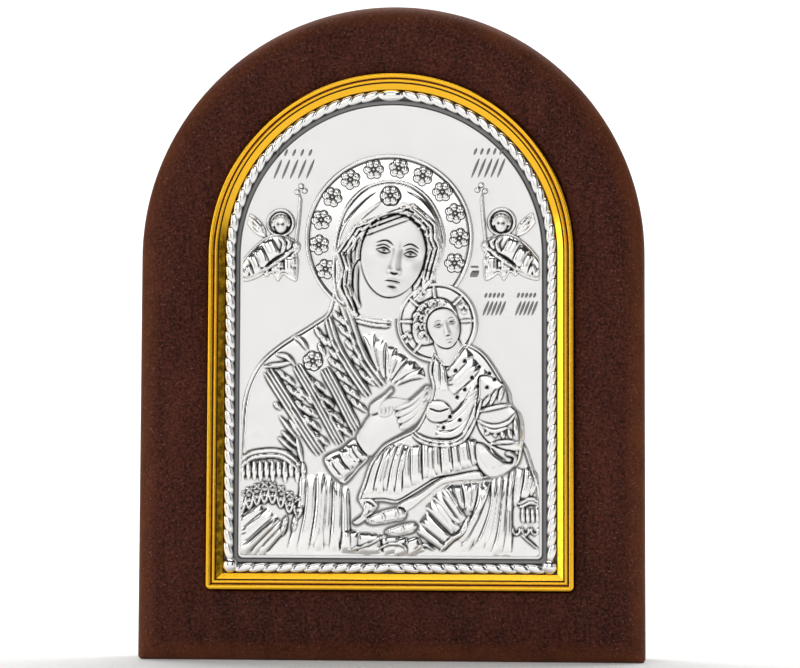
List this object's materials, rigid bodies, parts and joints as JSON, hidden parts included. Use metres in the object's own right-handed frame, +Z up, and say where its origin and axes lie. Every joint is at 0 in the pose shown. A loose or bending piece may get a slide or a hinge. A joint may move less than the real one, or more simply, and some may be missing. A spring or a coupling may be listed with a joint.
{
  "type": "framed icon plaque",
  "caption": "Small arched wooden icon block with a gilt beaded rim and a stamped silver relief of a veiled mother and child inside a rope border; stands upright on its flat underside",
  "frame": {"origin": "middle of the flat underside's outline, at the centre of the bounding box's bottom face", "axes": "+Z up the arch, +X to the viewer's right, the relief faces -Y and the plain back faces +Y"},
  "size_m": [0.094, 0.0192, 0.122],
  "materials": {
    "stained_wood": "dark red-brown stain, satin, with fine pale specks",
    "gilt": "bright polished gilt",
    "silver": "satin ground and skin, polished folds, dark tone in the grooves"
  },
  "bodies": {
    "root": {"wooden_board": "stained_wood", "gilt_rim": "gilt", "silver_plaque": "silver"}
  },
  "joints": []
}
